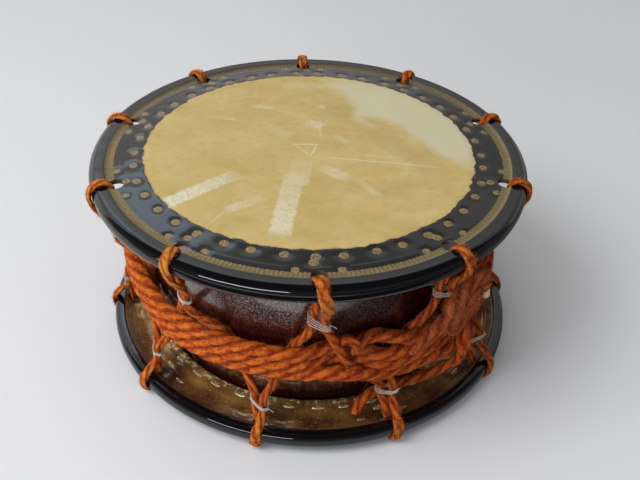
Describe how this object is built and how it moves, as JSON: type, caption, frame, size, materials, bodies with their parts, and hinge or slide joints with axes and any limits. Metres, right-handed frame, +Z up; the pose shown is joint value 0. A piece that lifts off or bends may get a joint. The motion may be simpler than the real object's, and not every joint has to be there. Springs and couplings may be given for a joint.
{
  "type": "rope-tensioned barrel drum",
  "caption": "Low lacquered barrel drum with wide flanged hide heads on iron rings, laced together over both rims by one rope and tightened by a second rope wound round the middle.",
  "frame": {"origin": "on the floor, under the middle of the drum's outline", "axes": "+Z up through the heads, -Y towards the front of the picture, +X to its right"},
  "size_m": [0.3586, 0.3592, 0.1694],
  "materials": {
    "lacquered_wood": "glossy lacquer with metal flakes",
    "lacquered_hide": "bare rawhide in the middle, black lacquered rim, gilded flange",
    "iron": "forged",
    "thread": "twisted hemp",
    "orange_rope": "laid, fuzzy, faded",
    "string": "twisted string",
    "bound_end": "bound and waxed"
  },
  "bodies": {
    "root": {"shell": "lacquered_wood", "top_head_skin": "lacquered_hide", "bottom_head_skin": "lacquered_hide", "top_iron_ring": "iron", "bottom_iron_ring": "iron", "top_stitch_thread": "thread", "bottom_stitch_thread": "thread", "lacing_rope": "orange_rope", "tension_rope": "orange_rope", "tension_rope_bow": "orange_rope", "tension_rope_tip": "bound_end", "top_tie_01": "string", "top_tie_02": "string", "top_tie_03": "string", "top_tie_04": "string", "top_tie_05": "string", "top_tie_06": "string", "top_tie_07": "string", "top_tie_08": "string", "top_tie_09": "string", "top_tie_10": "string", "bottom_tie_01": "string", "bottom_tie_02": "string", "bottom_tie_03": "string", "bottom_tie_04": "string", "bottom_tie_05": "string", "bottom_tie_06": "string", "bottom_tie_07": "string", "bottom_tie_08": "string", "bottom_tie_09": "string", "bottom_tie_10": "string"}
  },
  "joints": []
}
